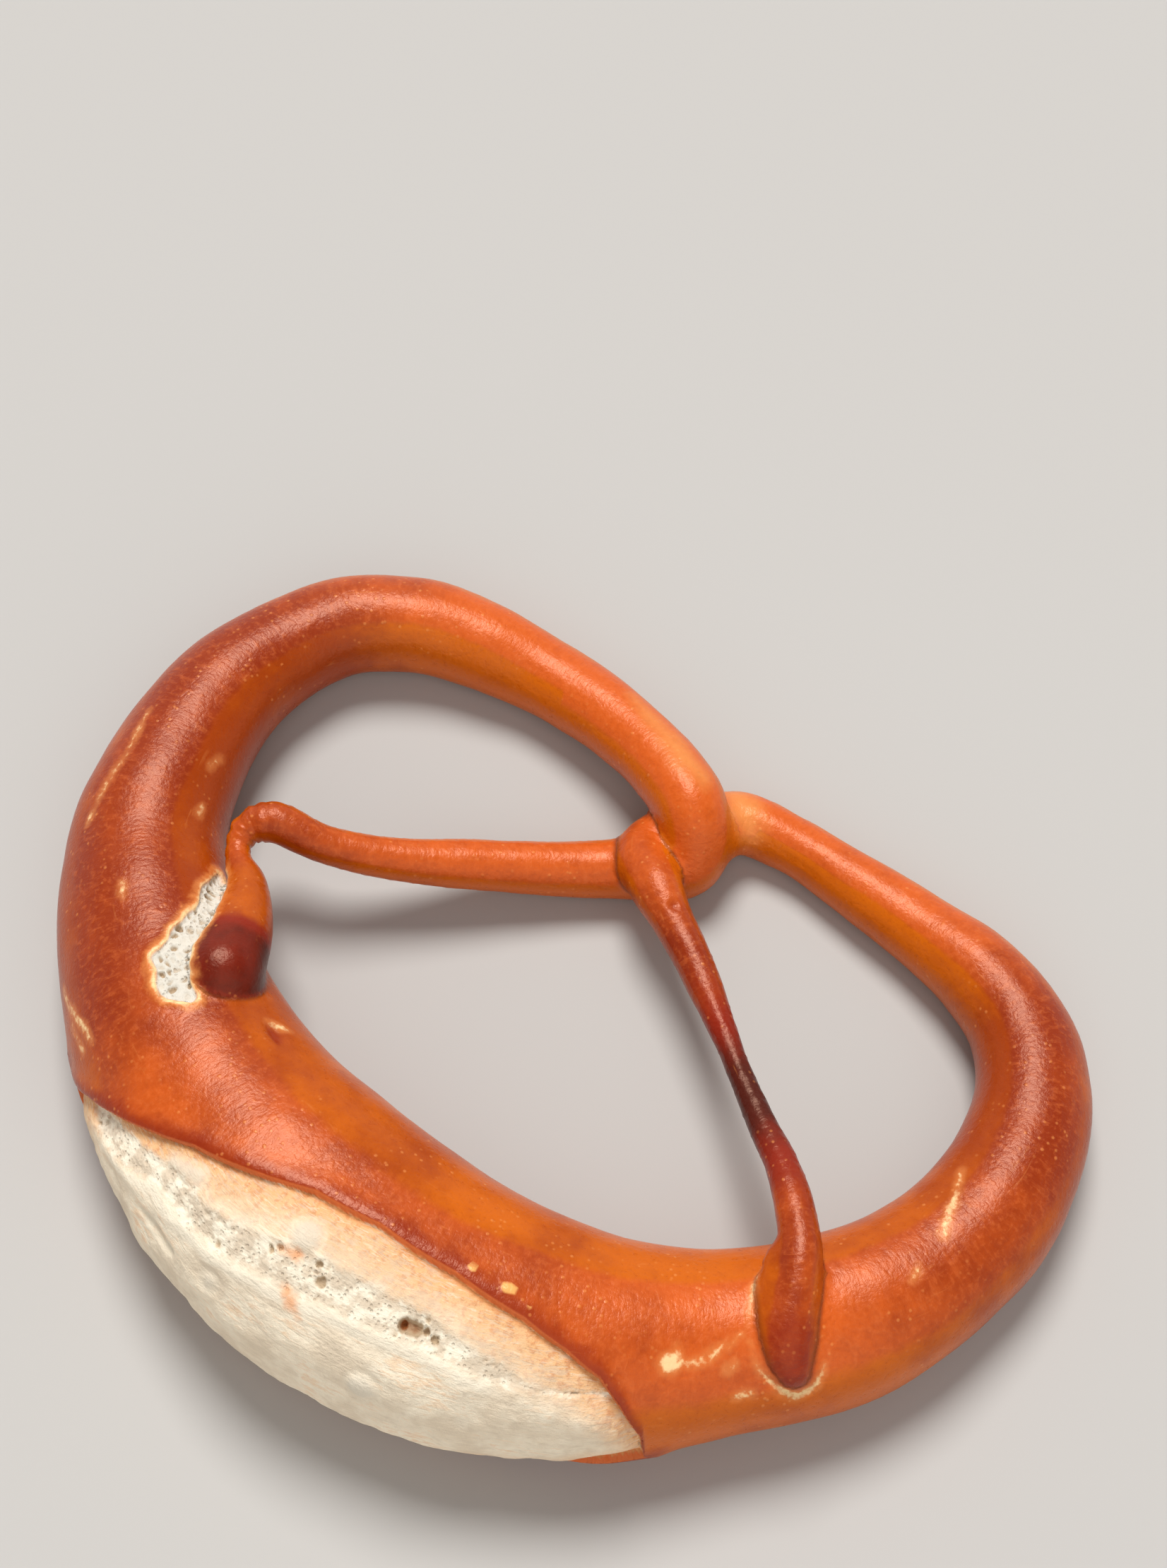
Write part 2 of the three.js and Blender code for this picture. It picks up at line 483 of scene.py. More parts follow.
# Pale stretch marks where the skin gave way in the oven.
PALE_MARKS = [
    [(-86, 7, 19, 0.1), (-83, -0.5, 20.5, 0.25), (-81.5, -8, 20.5, 0.35), (-79.5, -16, 20.3, 0.2)],
    [(-62.5, -41, 18.6, 0.2), (-58.5, -42.8, 20.3, 0.6), (-53.5, -44.4, 23.8, 0.4), (-50, -45.8, 24.8, 0.1)],
    [(-56, -44.8, 20.5, 0.3), (-51, -47.5, 22.7, 0.4)],
    [(-70.8, 5.3, 18.5, 0.4), (-70.7, 8, 17.3, 0.2)],
    [(-66, -3, 19, 0.35), (-66.5, -1, 18.3, 0.2)],
    [(-65, -21.7, 25.5, 0.4), (-63, -24, 26, 0.2)],
    [(74.2, 26.3, 18.2, 0.2), (76, 22.4, 19.7, 0.3), (76.7, 19, 20.4, 0.55), (78.5, 14.5, 21.4, 0.25)],
    [(78.7, 7, 22.2, 0.4), (78.8, 5, 22.5, 0.2)],
    [(55.2, -31.4, 25.6, 0.2), (56.8, -30, 26, 1.5), (57.2, -29.4, 26, 1.2), (59, -28.2, 25.4, 0.2)],
    [(56.2, -31.8, 25, 0.2), (57, -29.8, 26, 1.2), (56.4, -27.6, 26.3, 0.1)],
    [(59.2, -28.2, 25.3, 0.5), (61, -25.5, 24.9, 0.5), (62.1, -22.1, 24.9, 0.3), (62.9, -19, 25.1, 0.1)],
    [(64.2, -25, 23.8, 0.35), (64.6, -23.4, 23.9, 0.2)],
    [(67.5, -26.9, 20.8, 0.5), (69, -25, 20.9, 0.5)],
    [(59.7, -9.5, 23.8, 0.2), (60, -12, 24.3, 0.45), (61.5, -14.9, 24.9, 0.2)],
    [(-29, -26, 26.7, 0.2), (-27.3, -25, 26.2, 0.4), (-25.6, -24.6, 24.8, 0.1)],
]
# The pale crack round the right arm's tip.
CRACK = [
    [
        (64.5, -19.5, 24.4, 0.1),
        (67.6, -21.4, 23, 0.2),
        (70.2, -21.8, 22, 0.35),
        (73, -21.4, 20.2, 0.6),
        (75.2, -20.4, 18.8, 0.65),
        (76.4, -17.6, 19.4, 0.35),
        (75.8, -14.3, 21.4, 0.2),
    ],
    [(60.2, -10.5, 24.2, 0.1), (61.3, -14.5, 24.6, 0.35), (62.8, -17.5, 24.6, 0.15)],
]
# Golden patches where the twist pulls on the skin: partly skin stretched thin, partly a painted sheen.
GOLD_AND_PAINTED_SHEEN = [
    [(8.5, 58, 9.3, 2), (5.5, 59.6, 9.6, 3), (3.5, 61, 8.6, 2.5)],
    [(-1.6, 56.4, 17.9, 1), (-6.6, 57.9, 17.7, 2), (-13, 60.5, 16.2, 1.5), (-22, 63, 13, 0.5)],
]
# Small dents with a reddish bottom.
DENTS = [
    [(-28.6, -25.8, 27.4, 0.5), (-26.8, -26.6, 27.6, 1.1), (-25.2, -27.6, 28, 0.4)],
    [(8.5, 35.2, 17, 0.4)],
]
# Blisters in the crust: a stroke of one point is a dot.
BLISTERS = [
    [(24.5, -38.5, 33, 0.9)],
    [(23.3, -39.8, 33.1, 0.4)],
    [(30.6, -37.6, 32, 1.1), (31.6, -37.3, 31.9, 0.8)],
    [(29.4, -38.8, 32.2, 0.45)],
    [(35, -37.8, 31.2, 0.6)],
    [(9.4, -38.3, 33.7, 0.5)],
    [(14.2, -38.9, 33.8, 0.45)],
]
# Big bubbles under the skin of the crumb, a groove beside them and the deep pit in the torn band.
BUBBLES = [
    [(1.3, -50.6, 34.6, 2.9)],
    [(21, -62, 24.9, 2.9)],
    [(-24.4, -54.2, 30.4, 1.7), (-19.5, -53.6, 31.8, 1.9)],
    [(-8, -63.5, 26, 2.0)],
    [(36, -55.5, 22.5, 1.6)],
]
GROOVES = [[(-25.6, -61.6, 23.1, 0.5), (-21, -62.8, 23.8, 1.1), (-16.8, -64, 23.8, 0.9)]]
PIT = [[(22, -51.9, 32.2, 1.3), (23.6, -51.4, 32, 1.2)]]
# Orange flecks of crust left on the crumb.
FLECKS = [
    [(-0.6, -54.4, 33.3, 0.5), (1.8, -53.8, 33.6, 1.0)],
    [(3.2, -58.4, 31.6, 0.6), (5.2, -59.4, 30.8, 1.2), (7.4, -60.4, 29.8, 0.4)],
]

# Heights and depths in mm.
LONG_SWELL, SHORT_SWELL = 0.45, 0.14  # the uneven rolling of the dough by hand
LIP_SWELL = 0.5  # the crust curls up at its edge
CRUMB_STEP = 0.95  # the crumb starts below the crust's edge
CRUMB_SWELL = 1.4  # and swells again towards the middle of the split
BAND_STEP = 0.45  # the torn band lies a little below the crumb's skin
FOLD_RISE = 0.25  # the skin folds up along the band's outer side
TEAR_STEP = 0.45  # the torn patch lies below the crust
TEAR_EDGE = 0.25  # and its edge stands up
TEAR_WANDER = 0.7  # how far that edge wanders from its stroke
TEAR_CELL = 1.2  # the deepest bubbles of the tear
PIT_DEPTH = 1.3
BUBBLE_RISE, BUBBLE_RIM = 0.3, 0.25
GROOVE_DEPTH = 0.9
DENT_DEPTH = 0.8
CRACK_DEPTH = 0.45
BLISTER_RISE = 0.45
KINK_RISE = 0.2  # the creases where the left arm folds
KINK_CREASE = 1.9  # from one crease of the fold to the next
KINK = (31.0, 4.5)  # where the fold is: mm along the rope and its spread

# Where the lye crust is red, and where it is nearly black.
RED_RING = ((54, 72), (156, 120))  # degrees round the ring where the red comes in and goes out again
RED_ARM = (96, 66, 34)  # degrees: the middle of the red on an arm, where it ends and where it is full
AMBER_NECK = (14, 9)  # mm along the left arm to its amber neck, and the neck's spread
BULB_CAP = (10.2, 4.6)  # mm from the bulb's tip between which it darkens
BULB_PAINTED_SHADE = (30, 24)  # mm above the table between which it turns darker still, painted shade on the bulb's underside
DARK_ARM = (44.3, 17.5)  # the station where the right arm is darkest, and the spread in mm
ARM_TIP = (48.1, 49.6, 0.3)  # the stations between which its tip darkens, and how much


def station_curve(table, arc, column=1):
    """A column of a table at each length along the rope."""
    return np.interp(arc, [rope.arc_at(row[0]) for row in table], [row[column] for row in table])


def between_ends(table, arc):
    """Distance along the rope to the nearer end of a table, negative outside it."""
    return np.minimum(arc - rope.arc_at(table[0][0]), rope.arc_at(table[-1][0]) - arc)


class Zones:
    """How far each point is inside the split, its torn band and the tear, in mm, negative outside."""

    def __init__(self, points, on):
        above = (on.angle - station_curve(UPPER_LIP, on.arc)) * on.mm_per_degree
        below = (station_curve(LOWER_LIP, on.arc) - on.angle) * on.mm_per_degree
        ends = between_ends(UPPER_LIP, on.arc)
        inside = np.minimum(above, below)
        inside = np.where(ends < 0, np.minimum(inside, ends), inside)
        self.split = np.where(on.on_ring, np.clip(inside, -FAR, FAR), -FAR)
        self.from_band = (on.angle - station_curve(TORN_BAND, on.arc)) * on.mm_per_degree
        width = station_curve(TORN_BAND, on.arc, 2) * smooth(0, 5, between_ends(TORN_BAND, on.arc))
        self.band_width = width
        self.band = np.where(self.split > -1, width - np.abs(self.from_band), -FAR)
        self.tear = within_paths(points, TEAR) + TEAR_WANDER * ripple(points, 2.6, 14)


# ---------------------------------------------------------------- the mesh


def make_mesh(name, points, quads):
    mesh = bpy.data.meshes.new(name)
    mesh.vertices.add(len(points))
    mesh.vertices.foreach_set("co", points.astype(np.float32).ravel())
    mesh.loops.add(quads.size)
    mesh.loops.foreach_set("vertex_index", quads.astype(np.int32).ravel())
    mesh.polygons.add(len(quads))
    mesh.polygons.foreach_set("loop_start", np.arange(0, quads.size, 4, dtype=np.int32))
    mesh.update(calc_edges=True)
    mesh.validate()
    return mesh


def points_of(mesh):
    found = np.empty(len(mesh.vertices) * 3, np.float32)
    mesh.vertices.foreach_get("co", found)
    return found.reshape(-1, 3).astype(float)


def normals_of(mesh):
    found = np.empty(len(mesh.vertices) * 3, np.float32)
    mesh.vertex_normals.foreach_get("vector", found)
    return found.reshape(-1, 3).astype(float)


def cut_finer(mesh, wanted):
    """Halves the edges of the faces that have a wanted point."""
    shape = bmesh.new()
    shape.from_mesh(mesh)
    chosen = [any(wanted[v.index] for v in face.verts) for face in shape.faces]
    edges = [edge for edge in shape.edges if any(chosen[face.index] for face in edge.link_faces)]
    bmesh.ops.subdivide_edges(shape, edges=edges, cuts=1, use_grid_fill=True)
    shape.to_mesh(mesh)
    shape.free()


def build_skin():
    """The dough's skin in mm, finer on the split and the thin arms, and finest where it is torn."""
    grid = Grid()
    mesh = make_mesh("pretzel_skin", *skin(grid, dough_field(grid)))
    points = points_of(mesh)
    on = OnRope(points)
    zones = Zones(points, on)
    cut_finer(mesh, (zones.split > -2) | (zones.tear > -2) | (on.half < 5.5) | (on.join(points) < 1.5))
    points = points_of(mesh)
    zones = Zones(points, OnRope(points))
    cut_finer(mesh, (zones.band > -0.6) | (zones.tear > -0.4) | (np.abs(zones.split) < 0.6))
    mesh.polygons.foreach_set("use_smooth", np.ones(len(mesh.polygons), bool))
    return mesh


def keep_value(mesh, name, values):
    """Stores one number for each point, for the material to read."""
    layer = mesh.attributes.new(name, "FLOAT", "POINT")
    layer.data.foreach_set("value", np.ascontiguousarray(values, dtype=np.float32))


def keep_vector(mesh, name, values):
    layer = mesh.attributes.new(name, "FLOAT_VECTOR", "POINT")
    layer.data.foreach_set("vector", np.ascontiguousarray(values, dtype=np.float32).ravel())


def foam_depth(points, on, zones):
    """Depth of the open bubbles in mm, in the torn band, the pit and the tear."""
    along_rope = np.stack([on.arc / 1.5, on.angle * on.mm_per_degree / 2.0, np.zeros(len(points))], axis=1)
    depth = np.zeros(len(points))
    torn = zones.band > -1.2
    open_cell, chance = froth(along_rope[torn], 1.0, 1)
    fine_cell, fine_chance = froth(points[torn], 0.8, 2)
    patch = smooth(-0.25, 0.35, ripple(points[torn], 6, 9))
    inside = smooth(-0.6, 0.5, zones.band[torn])
    depth[torn] = inside * (open_cell * chance**2 * (0.2 + 0.9 * patch) + 0.2 * fine_cell * fine_chance)
    ripped = zones.tear > -0.8
    cell, chance = froth(points[ripped], 1.5, 3)
    inside = smooth(-0.3, 0.6, zones.tear[ripped])
    depth[ripped] += inside * TEAR_CELL * cell * chance
    return depth + PIT_DEPTH * smooth(-0.5, 0.8, within_paths(points, PIT))


def fold_share(on, zones):
    """How much the crumb's skin is folded up along the outer side of the torn band."""
    beside = bell(zones.from_band - zones.band_width - 1.4, 1.5) * smooth(0, 2, zones.split)
    return beside * smooth(0, 12, between_ends(TORN_BAND, on.arc))


def crumb_height(points, on, zones, fold):
    """The crumb's own hills and hollows, before its bubbles are opened."""
    along_rope = np.stack([on.arc / 3, on.angle * on.mm_per_degree, np.zeros(len(points))], axis=1)
    height = CRUMB_SWELL * smooth(0.5, 9, zones.split) - CRUMB_STEP
    height += 0.35 * ripple(along_rope, 3.5, 5) + 0.3 * ripple(points, 5, 6) + 0.12 * ripple(points, 1.6, 7)
    return height + FOLD_RISE * fold - BAND_STEP * smooth(-0.8, 1.2, zones.band)


def small_marks_height(points, on):
    """The bubbles, groove, dents, crack and blisters, and the creases where the left arm folds."""
    bubble = within_paths(points, BUBBLES)
    height = BUBBLE_RISE * smooth(0, 2.2, bubble) - BUBBLE_RIM * bell(bubble, 0.6)
    height -= GROOVE_DEPTH * smooth(-0.6, 0.9, within_paths(points, GROOVES))
    height -= DENT_DEPTH * smooth(-1.2, 0.8, within_paths(points, DENTS))
    height -= CRACK_DEPTH * smooth(-0.4, 0.6, within_paths(points, CRACK))
    height += BLISTER_RISE * smooth(-0.3, 0.7, within_paths(points, BLISTERS))
    creases = np.sin(2 * math.pi * (on.arc + 0.9 * ripple(points, 2.5, 11)) / KINK_CREASE)
    return height + np.where(on.on_left, KINK_RISE * creases * bell(on.arc - KINK[0], KINK[1]), 0)


def shape_dough(points, normal, on, zones, foam, fold):
    """Moves the skin in and out, with the underside left as flat as the tray it was baked on."""
    swell = LONG_SWELL * ripple(points, 16, 1) + SHORT_SWELL * ripple(points, 6, 2)
    crust = swell + LIP_SWELL * bell(zones.split + 1.2, 2.2)
    crumb = swell + crumb_height(points, on, zones, fold) - foam
    in_split = smooth(-0.12, 0.3, zones.split)
    height = crust * (1 - in_split) + crumb * in_split
    in_tear = smooth(-0.15, 0.4, zones.tear)
    height = height * (1 - in_tear) + (swell - TEAR_STEP - foam) * in_tear
    height += TEAR_EDGE * bell(zones.tear + 0.7, 0.8) + small_marks_height(points, on)
    height *= smooth(0.0, 1.5, points[:, 2])
    shaped = points + normal * height[:, None]
    shaped[:, 2] = np.maximum(shaped[:, 2], 0)
    return shaped


def redness_of(on):
    """1 where the crust faced the oven's heat and turned red, 0 where it stayed amber."""
    red_in, red_out = RED_RING
    on_ring = smooth(*red_in, on.angle) * smooth(*red_out, on.angle)
    middle, edge, full = RED_ARM
    red = np.where(on.on_ring, on_ring, smooth(edge, full, np.abs(on.angle - middle)))
    return red * np.where(on.on_left, 1 - bell(on.arc - AMBER_NECK[0], AMBER_NECK[1]), 1)


def darkness_of(points, on, join):
    """1 where the crust is nearly black: on the bulb, along the thin right arm and, less, on its tip; the
    bulb's lower part is darker still, painted shade.
    """
    # Painted shade: the bulb darkens further towards its underside.
    bulb = smooth(*BULB_CAP, on.arc) * (0.75 + 0.25 * smooth(*BULB_PAINTED_SHADE, points[:, 2])) * smooth(0, 1, join)
    arm = bell(on.arc - rope.arc_at(DARK_ARM[0]), DARK_ARM[1])
    first, last, share = ARM_TIP
    tip = share * smooth(rope.arc_at(first), rope.arc_at(last), on.arc) * smooth(0, 1.5, join)
    return np.select([on.on_left, on.on_right], [bulb, np.maximum(arm, tip)], 0)


def bake_dough():
    """The pretzel's mesh, shaped in detail, with what its material needs to know stored on it."""
    mesh = build_skin()
    points = points_of(mesh)
    normal = normals_of(mesh)
    on = OnRope(points)
    zones = Zones(points, on)
    foam = foam_depth(points, on, zones)
    fold = fold_share(on, zones)
    shaped = shape_dough(points, normal, on, zones, foam, fold)
    # The rope's list is centred on the CAD box.
    low, high = np.array(cad_box)
    middle = (points.min(axis=0) + points.max(axis=0)) / 2
    shift = (low + high) / 2 / MM - middle
    shift[2] = 0
    mesh.vertices.foreach_set("co", ((shaped + shift) * MM).astype(np.float32).ravel())
    mesh.update()

    join = on.join(points)
    keep_vector(mesh, "rope", np.stack([on.arc, on.aside, on.rise], axis=1))
    marks = {
        "split": zones.split,
        "band": zones.band,
        "tear": zones.tear,
        "pore": foam,
        "fold": fold,
        "red": redness_of(on),
        "deep": station_curve(DEEP, on.arc),
        "dark": darkness_of(points, on, join),
        "join": join,
        "under": smooth(-0.35, -0.9, normal[:, 2]),
        "pale": np.maximum(within_paths(points, PALE_MARKS), within_paths(points, CRACK)),
        "gold_and_painted_sheen": within_paths(points, GOLD_AND_PAINTED_SHEEN),
        "dent": within_paths(points, DENTS),
        "blister": within_paths(points, BLISTERS),
        "bubble": within_paths(points, BUBBLES + GROOVES),
        "fleck": within_paths(points, FLECKS),
    }
    for name, values in marks.items():
        keep_value(mesh, name, values)
    return mesh


# ---------------------------------------------------------------- materials


def srgb(red, green, blue):
    """A colour as it looks, 0 to 255 a channel, for a shader socket."""

    def linear(value):
        value = value / 255
        return value / 12.92 if value <= 0.04045 else ((value + 0.055) / 1.055) ** 2.4

    return (linear(red), linear(green), linear(blue), 1.0)


class Nodes:
    """Short ways to add and join nodes in one tree."""

    def __init__(self, tree):
        self.tree = tree

    def add(self, kind, **settings):
        node = self.tree.nodes.new(kind)
        for key, value in settings.items():
            setattr(node, key, value)
        return node

    def join(self, source, target):
        if isinstance(source, bpy.types.NodeSocket):
            self.tree.links.new(source, target)
        else:
            target.default_value = source

    def value_of(self, name):
        return self.add("ShaderNodeAttribute", attribute_name=name).outputs["Fac"]

    def vector_of(self, name):
        return self.add("ShaderNodeAttribute", attribute_name=name).outputs["Vector"]

    def maths(self, operation, a, b=0.0):
        node = self.add("ShaderNodeMath", operation=operation)
        self.join(a, node.inputs[0])
        self.join(b, node.inputs[1])
        return node.outputs[0]

    def shaken(self, value, noise_value, reach):
        """value moved up and down by a noise of 0 to 1, by as much as half of reach each way."""
        push = self.maths("MULTIPLY", self.maths("SUBTRACT", noise_value, 0.5), reach)
        return self.maths("ADD", value, push)

    def ramp(self, value, low, high, least=0.0, most=1.0):
        """value between low and high, as an S-curve from least to most."""
        node = self.add("ShaderNodeMapRange", interpolation_type="SMOOTHSTEP")
        for name, given in (("Value", value), ("From Min", low), ("From Max", high)):
            self.join(given, node.inputs[name])
        node.inputs["To Min"].default_value = least
        node.inputs["To Max"].default_value = most
        return node.outputs["Result"]

    def mix(self, share, first, second):
        node = self.add("ShaderNodeMix", data_type="RGBA")
        self.join(share, node.inputs["Factor"])
        self.join(first, node.inputs[6])
        self.join(second, node.inputs[7])
        return node.outputs[2]

    def blend(self, share, first, second):
        """The same for plain numbers."""
        node = self.add("ShaderNodeMix", data_type="FLOAT")
        self.join(share, node.inputs[0])
        self.join(first, node.inputs[2])
        self.join(second, node.inputs[3])
        return node.outputs[0]

    def scaled(self, vector, x, y, z):
        node = self.add("ShaderNodeVectorMath", operation="MULTIPLY")
        self.join(vector, node.inputs[0])
        node.inputs[1].default_value = (x, y, z)
        return node.outputs["Vector"]

    def cloud(self, vector, scale, detail=2.0, roughness=0.5, distortion=0.0):
        node = self.add("ShaderNodeTexNoise")
        self.join(vector, node.inputs["Vector"])
        node.inputs["Scale"].default_value = scale
        node.inputs["Detail"].default_value = detail
        node.inputs["Roughness"].default_value = roughness
        node.inputs["Distortion"].default_value = distortion
        return node.outputs["Fac"]

    def dots(self, vector, scale, radius, share):
        """Round dots in a share of the cells of a foam; radius is a part of a cell."""
        node = self.add("ShaderNodeTexVoronoi", feature="F1")
        self.join(vector, node.inputs["Vector"])
        node.inputs["Scale"].default_value = scale
        spot = self.ramp(node.outputs["Distance"], radius, radius * 0.3)
        chosen = self.ramp(node.outputs["Color"], 0.7 - 0.4 * share, 0.74 - 0.4 * share)
        return self.maths("MULTIPLY", spot, chosen)


FLOAT, COLOUR, VECTOR = "NodeSocketFloat", "NodeSocketColor", "NodeSocketVector"


def group(name, marks, outputs):
    """An empty node group fed with Place, Rope and some marks: its tree, its helper and its two ends."""
    tree = bpy.data.node_groups.new(name, "ShaderNodeTree")
    for label, kind in [("Place", VECTOR), ("Rope", VECTOR)] + [(mark, FLOAT) for mark in marks]:
        tree.interface.new_socket(name=label, in_out="INPUT", socket_type=kind)
    for label, kind in outputs:
        tree.interface.new_socket(name=label, in_out="OUTPUT", socket_type=kind)
    nodes = Nodes(tree)
    return tree, nodes, nodes.add("NodeGroupInput").outputs, nodes.add("NodeGroupOutput").inputs


AMBER = srgb(206, 98, 1)
DEEP_AMBER = srgb(158, 58, 1)
BRIGHT_RED = srgb(212, 92, 26)
DEEP_RED = srgb(142, 44, 8)
LIP_RED = srgb(138, 32, 6)
ROSY = srgb(228, 118, 58)
CHERRY = srgb(136, 26, 6)
MAHOGANY = srgb(60, 9, 2)
GOLDEN = srgb(246, 182, 104)
PALE_SKIN = srgb(252, 218, 160)
FRECKLE = srgb(238, 150, 80)
# Painted shade, for the creases where one strand meets the next.
PAINTED_CREASE_SHADE = srgb(92, 28, 4)
TRAY_LIGHT = srgb(176, 98, 44)
TRAY_BROWN = srgb(132, 62, 24)
AMBER_ROUGHNESS, RED_ROUGHNESS, DARK_ROUGHNESS, TRAY_ROUGHNESS = 0.3, 0.34, 0.38, 0.7


def browned(n, given, blotch, mottle, fine, wrinkle):
    """Amber on the sides, red-brown on top, and nearly black on the bulb and the thin arm; and its masks."""
    redness = n.ramp(n.shaken(n.shaken(given["Red"], blotch, 0.8), mottle, 0.4), 0.25, 0.75)
    deep = n.shaken(n.shaken(given["Deep"], blotch, 1.3), mottle, 0.5)
    amber = n.mix(n.ramp(deep, 0.15, 1.0), AMBER, DEEP_AMBER)
    red = n.mix(n.ramp(deep, 0.0, 1.0), BRIGHT_RED, DEEP_RED)
    red = n.mix(n.ramp(wrinkle, 0.5, 0.75, most=0.2), red, ROSY)
    red = n.mix(n.ramp(fine, 0.5, 0.7, most=0.2), red, ROSY)
    colour = n.mix(redness, amber, red)
    colour = n.mix(n.ramp(fine, 0.5, 0.3, most=0.15), colour, DEEP_RED)
    colour = n.mix(n.ramp(n.shaken(given["Split"], mottle, 3.0), -4.5, -0.8, most=0.75), colour, LIP_RED)
    dark = n.shaken(given["Dark"], mottle, 0.3)
    colour = n.mix(n.ramp(dark, 0.0, 0.5, most=0.95), colour, CHERRY)
    return n.mix(n.ramp(dark, 0.5, 1.0, most=0.9), colour, MAHOGANY), redness, dark


def stretched(n, given, mottle, fine, colour):
    """The marks of skin that was stretched, blistered or dented, and painted shade in the creases against
    the next strand.
    """
    streak = n.cloud(n.scaled(given["Rope"], 0.11, 0.8, 0.8), 1.0, 2, 0.6, 0.6)
    colour = n.mix(n.ramp(streak, 0.66, 0.8, most=0.2), colour, FRECKLE)
    # Partly stretched skin, partly painted sheen: golden patches on the knot and along the arch.
    colour = n.mix(n.ramp(n.shaken(given["Gold_and_painted_sheen"], mottle, 3.0), -2.8, 2.6, most=0.4), colour, GOLDEN)
    pale = n.shaken(n.shaken(given["Pale"], fine, 1.6), mottle, 0.8)
    colour = n.mix(n.ramp(n.shaken(given["Pale"], mottle, 2.4), -1.3, 0.2, most=0.4), colour, FRECKLE)
    colour = n.mix(n.ramp(pale, -0.3, 0.5, most=0.9), colour, PALE_SKIN)
    colour = n.mix(n.ramp(given["Blister"], -0.2, 0.25, most=0.9), colour, GOLDEN)
    colour = n.mix(n.ramp(given["Dent"], -0.9, 0.6, most=0.75), colour, LIP_RED)
    # Painted shade: dark brown along the crease where the strand meets the next one.
    return n.mix(n.ramp(n.shaken(given["Join"], mottle, 0.3), 1.1, 0.1, most=0.85), colour, PAINTED_CREASE_SHADE)


def torn_edges(n, given, mottle, fine, colour):
    """A painted highlight in rosy along the crust's edge at the split, and skin that feathers out to cream
    round the tear.
    """
    # Painted highlight: a rosy line on the crust's edge just outside the split.
    colour = n.mix(n.ramp(given["Split"], -0.55, -0.1, most=0.7), colour, ROSY)
    feather = n.shaken(n.shaken(given["Tear"], mottle, 2.4), fine, 1.2)
    colour = n.mix(n.ramp(feather, -2.2, -0.4, most=0.7), colour, FRECKLE)
    return n.mix(n.ramp(feather, -0.9, 0.1), colour, PALE_SKIN)


def crust_group():
    """The lye crust: colour, grain height and roughness."""
    marks = ["Red", "Deep", "Dark", "Join", "Split", "Tear", "Pale", "Gold_and_painted_sheen", "Dent", "Blister", "Under"]
    outputs = [("Color", COLOUR), ("Height", FLOAT), ("Roughness", FLOAT)]
    tree, n, given, made = group("lye crust", marks, outputs)
    place = given["Place"]
    blotch = n.cloud(place, 55, 3, 0.55)
    mottle = n.cloud(place, 260, 3, 0.6)
    fine = n.cloud(place, 1100, 3, 0.6)
    wrinkle = n.cloud(n.scaled(given["Rope"], 1.1, 0.3, 0.3), 1.0, 3, 0.6, 0.5)

    colour, redness, dark = browned(n, given, blotch, mottle, fine, wrinkle)
    # Light freckles in clusters, partly the crust's own and partly painted specks of sheen.
    clusters = n.ramp(n.cloud(place, 90, 2, 0.5), 0.42, 0.62)
    freckles_and_painted_glints = n.maths("MULTIPLY", n.dots(place, 800, 0.32, 0.4), clusters)
    colour = n.mix(n.maths("MULTIPLY", freckles_and_painted_glints, 0.4), colour, FRECKLE)
    colour = stretched(n, given, mottle, fine, colour)
    colour = torn_edges(n, given, mottle, fine, colour)
    tray = n.mix(n.ramp(mottle, 0.35, 0.65), TRAY_LIGHT, TRAY_BROWN)
    colour = n.mix(n.ramp(given["Under"], 0.0, 1.0, most=0.85), colour, tray)
    n.join(colour, made["Color"])

    grain = n.maths("MULTIPLY", n.ramp(redness, 0.0, 1.0, least=0.2, most=0.6), wrinkle)
    grain = n.maths("ADD", grain, n.maths("MULTIPLY", fine, 0.8))
    n.join(n.maths("ADD", grain, n.maths("MULTIPLY", freckles_and_painted_glints, 0.25)), made["Height"])
    roughness = n.blend(dark, n.blend(redness, AMBER_ROUGHNESS, RED_ROUGHNESS), DARK_ROUGHNESS)
    n.join(n.blend(given["Under"], n.shaken(roughness, fine, 0.16), TRAY_ROUGHNESS), made["Roughness"])
    return tree


CREAM = srgb(236, 220, 194)
LIGHT_CREAM = srgb(250, 238, 214)
PEACH = srgb(238, 182, 122)
TOASTED = srgb(208, 130, 70)
FOLD_WHITE = srgb(250, 240, 218)
MEMBRANE = srgb(222, 206, 182)
WALL = srgb(250, 240, 218)
# Painted shade for the pores, darker in the deepest ones and the pit.
PAINTED_PORE_SHADE = srgb(170, 142, 106)
PAINTED_DEEP_PORE_SHADE = srgb(150, 88, 44)
TORN_WHITE = srgb(222, 218, 206)
FLECK = srgb(238, 168, 116)
BUBBLE_SKIN = srgb(222, 214, 196)


